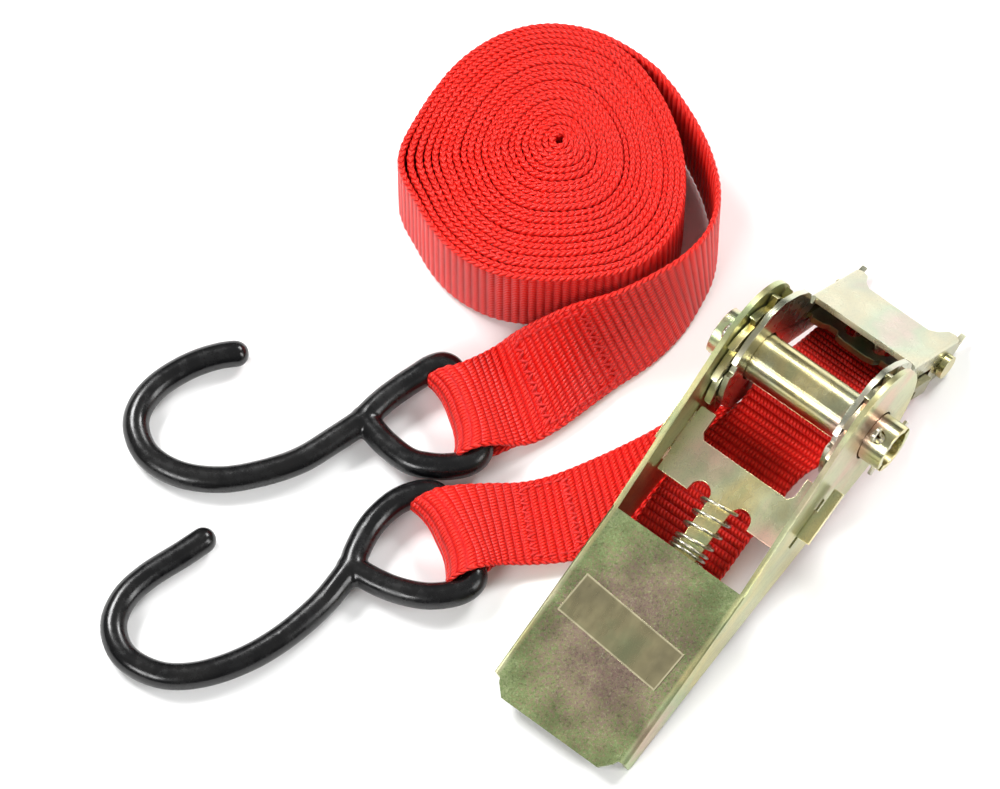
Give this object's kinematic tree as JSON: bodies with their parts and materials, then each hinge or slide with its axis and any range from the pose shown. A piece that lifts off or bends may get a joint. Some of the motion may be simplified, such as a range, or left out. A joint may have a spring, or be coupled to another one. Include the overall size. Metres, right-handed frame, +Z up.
{
  "type": "ratchet tie down",
  "caption": "Ratchet tie down with a plated steel ratchet standing part open, a short webbing strap to it, a rolled long strap, and black coated hooks.",
  "frame": {"origin": "middle of the bounding box in plan, on the surface everything lies on", "axes": "+Z up; +X runs from the hooks to the ratchet; +Y runs from the grip's side towards the rolled strap"},
  "size_m": [0.1956, 0.1757, 0.0447],
  "materials": {
    "zinc": "yellow-passivated zinc plate",
    "zinc_dark": "darker olive passivated zinc plate",
    "spring_steel": "bright wire",
    "label": "clear foil, blank",
    "webbing": "ribbed red polyester webbing",
    "thread": "red thread",
    "vinyl": "glossy black dip coating on steel wire"
  },
  "bodies": {
    "frame_body": {"frame": "zinc", "strap_pin": "zinc", "static_pawl_spring": "spring_steel", "short_strap": "webbing", "short_strap_stitches": "thread"},
    "handle_body": {"handle": "zinc_dark", "handle_label": "label", "drive_pawl_spring": "spring_steel"},
    "spool": {"axle_half_upper": "zinc", "axle_half_lower": "zinc", "ratchet_wheel_left": "zinc", "ratchet_wheel_right": "zinc", "cotter_pin_left": "spring_steel", "cotter_pin_right": "spring_steel"},
    "drive_pawl_body": {"drive_pawl": "zinc"},
    "static_pawl_body": {"static_pawl": "zinc"},
    "short_hook_body": {"short_strap_hook": "vinyl"},
    "long_strap_body": {"long_strap_coil": "webbing", "long_strap_tail": "webbing", "long_strap_stitches": "thread"},
    "long_hook_body": {"long_strap_hook": "vinyl"}
  },
  "joints": [
    {"name": "handle_pivot", "type": "hinge", "parent": "frame_body", "child": "handle_body", "pos_m": [0.0601, -0.0056, 0.026], "axis": [0.788, -0.6157, 0], "range_deg": [-60, 120], "deforming": ["short_strap"]},
    {"name": "spool_spin", "type": "hinge", "parent": "frame_body", "child": "spool", "pos_m": [0.0601, -0.0056, 0.026], "axis": [0.788, -0.6157, 0], "continuous": true},
    {"name": "drive_pawl_slide", "type": "slide", "parent": "handle_body", "child": "drive_pawl_body", "axis": [0.5828, 0.746, 0.3223], "range_m": [-0.0028, 0.0024], "stiffness_N_per_m": 600, "springref_m": 0.0024, "deforming": ["drive_pawl_spring"]},
    {"name": "static_pawl_slide", "type": "slide", "parent": "frame_body", "child": "static_pawl_body", "axis": [-0.4632, -0.5929, 0.6587], "range_m": [-0.0023, 0.0023], "stiffness_N_per_m": 600, "springref_m": 0.0023, "deforming": ["static_pawl_spring"]},
    {"name": "short_hook_swing", "type": "hinge", "parent": "frame_body", "child": "short_hook_body", "pos_m": [-0.0183, -0.0319, 0.005], "axis": [0.3949, -0.9187, 0], "range_deg": [-80, 80]},
    {"name": "long_strap_lift", "type": "slide", "parent": "frame_body", "child": "long_strap_body", "axis": [0, 0, 1], "range_m": [0, 0.1]},
    {"name": "long_hook_swing", "type": "hinge", "parent": "long_strap_body", "child": "long_hook_body", "pos_m": [-0.0159, -0.0007, 0.005], "axis": [0.3102, -0.9507, 0], "range_deg": [-80, 80]}
  ]
}
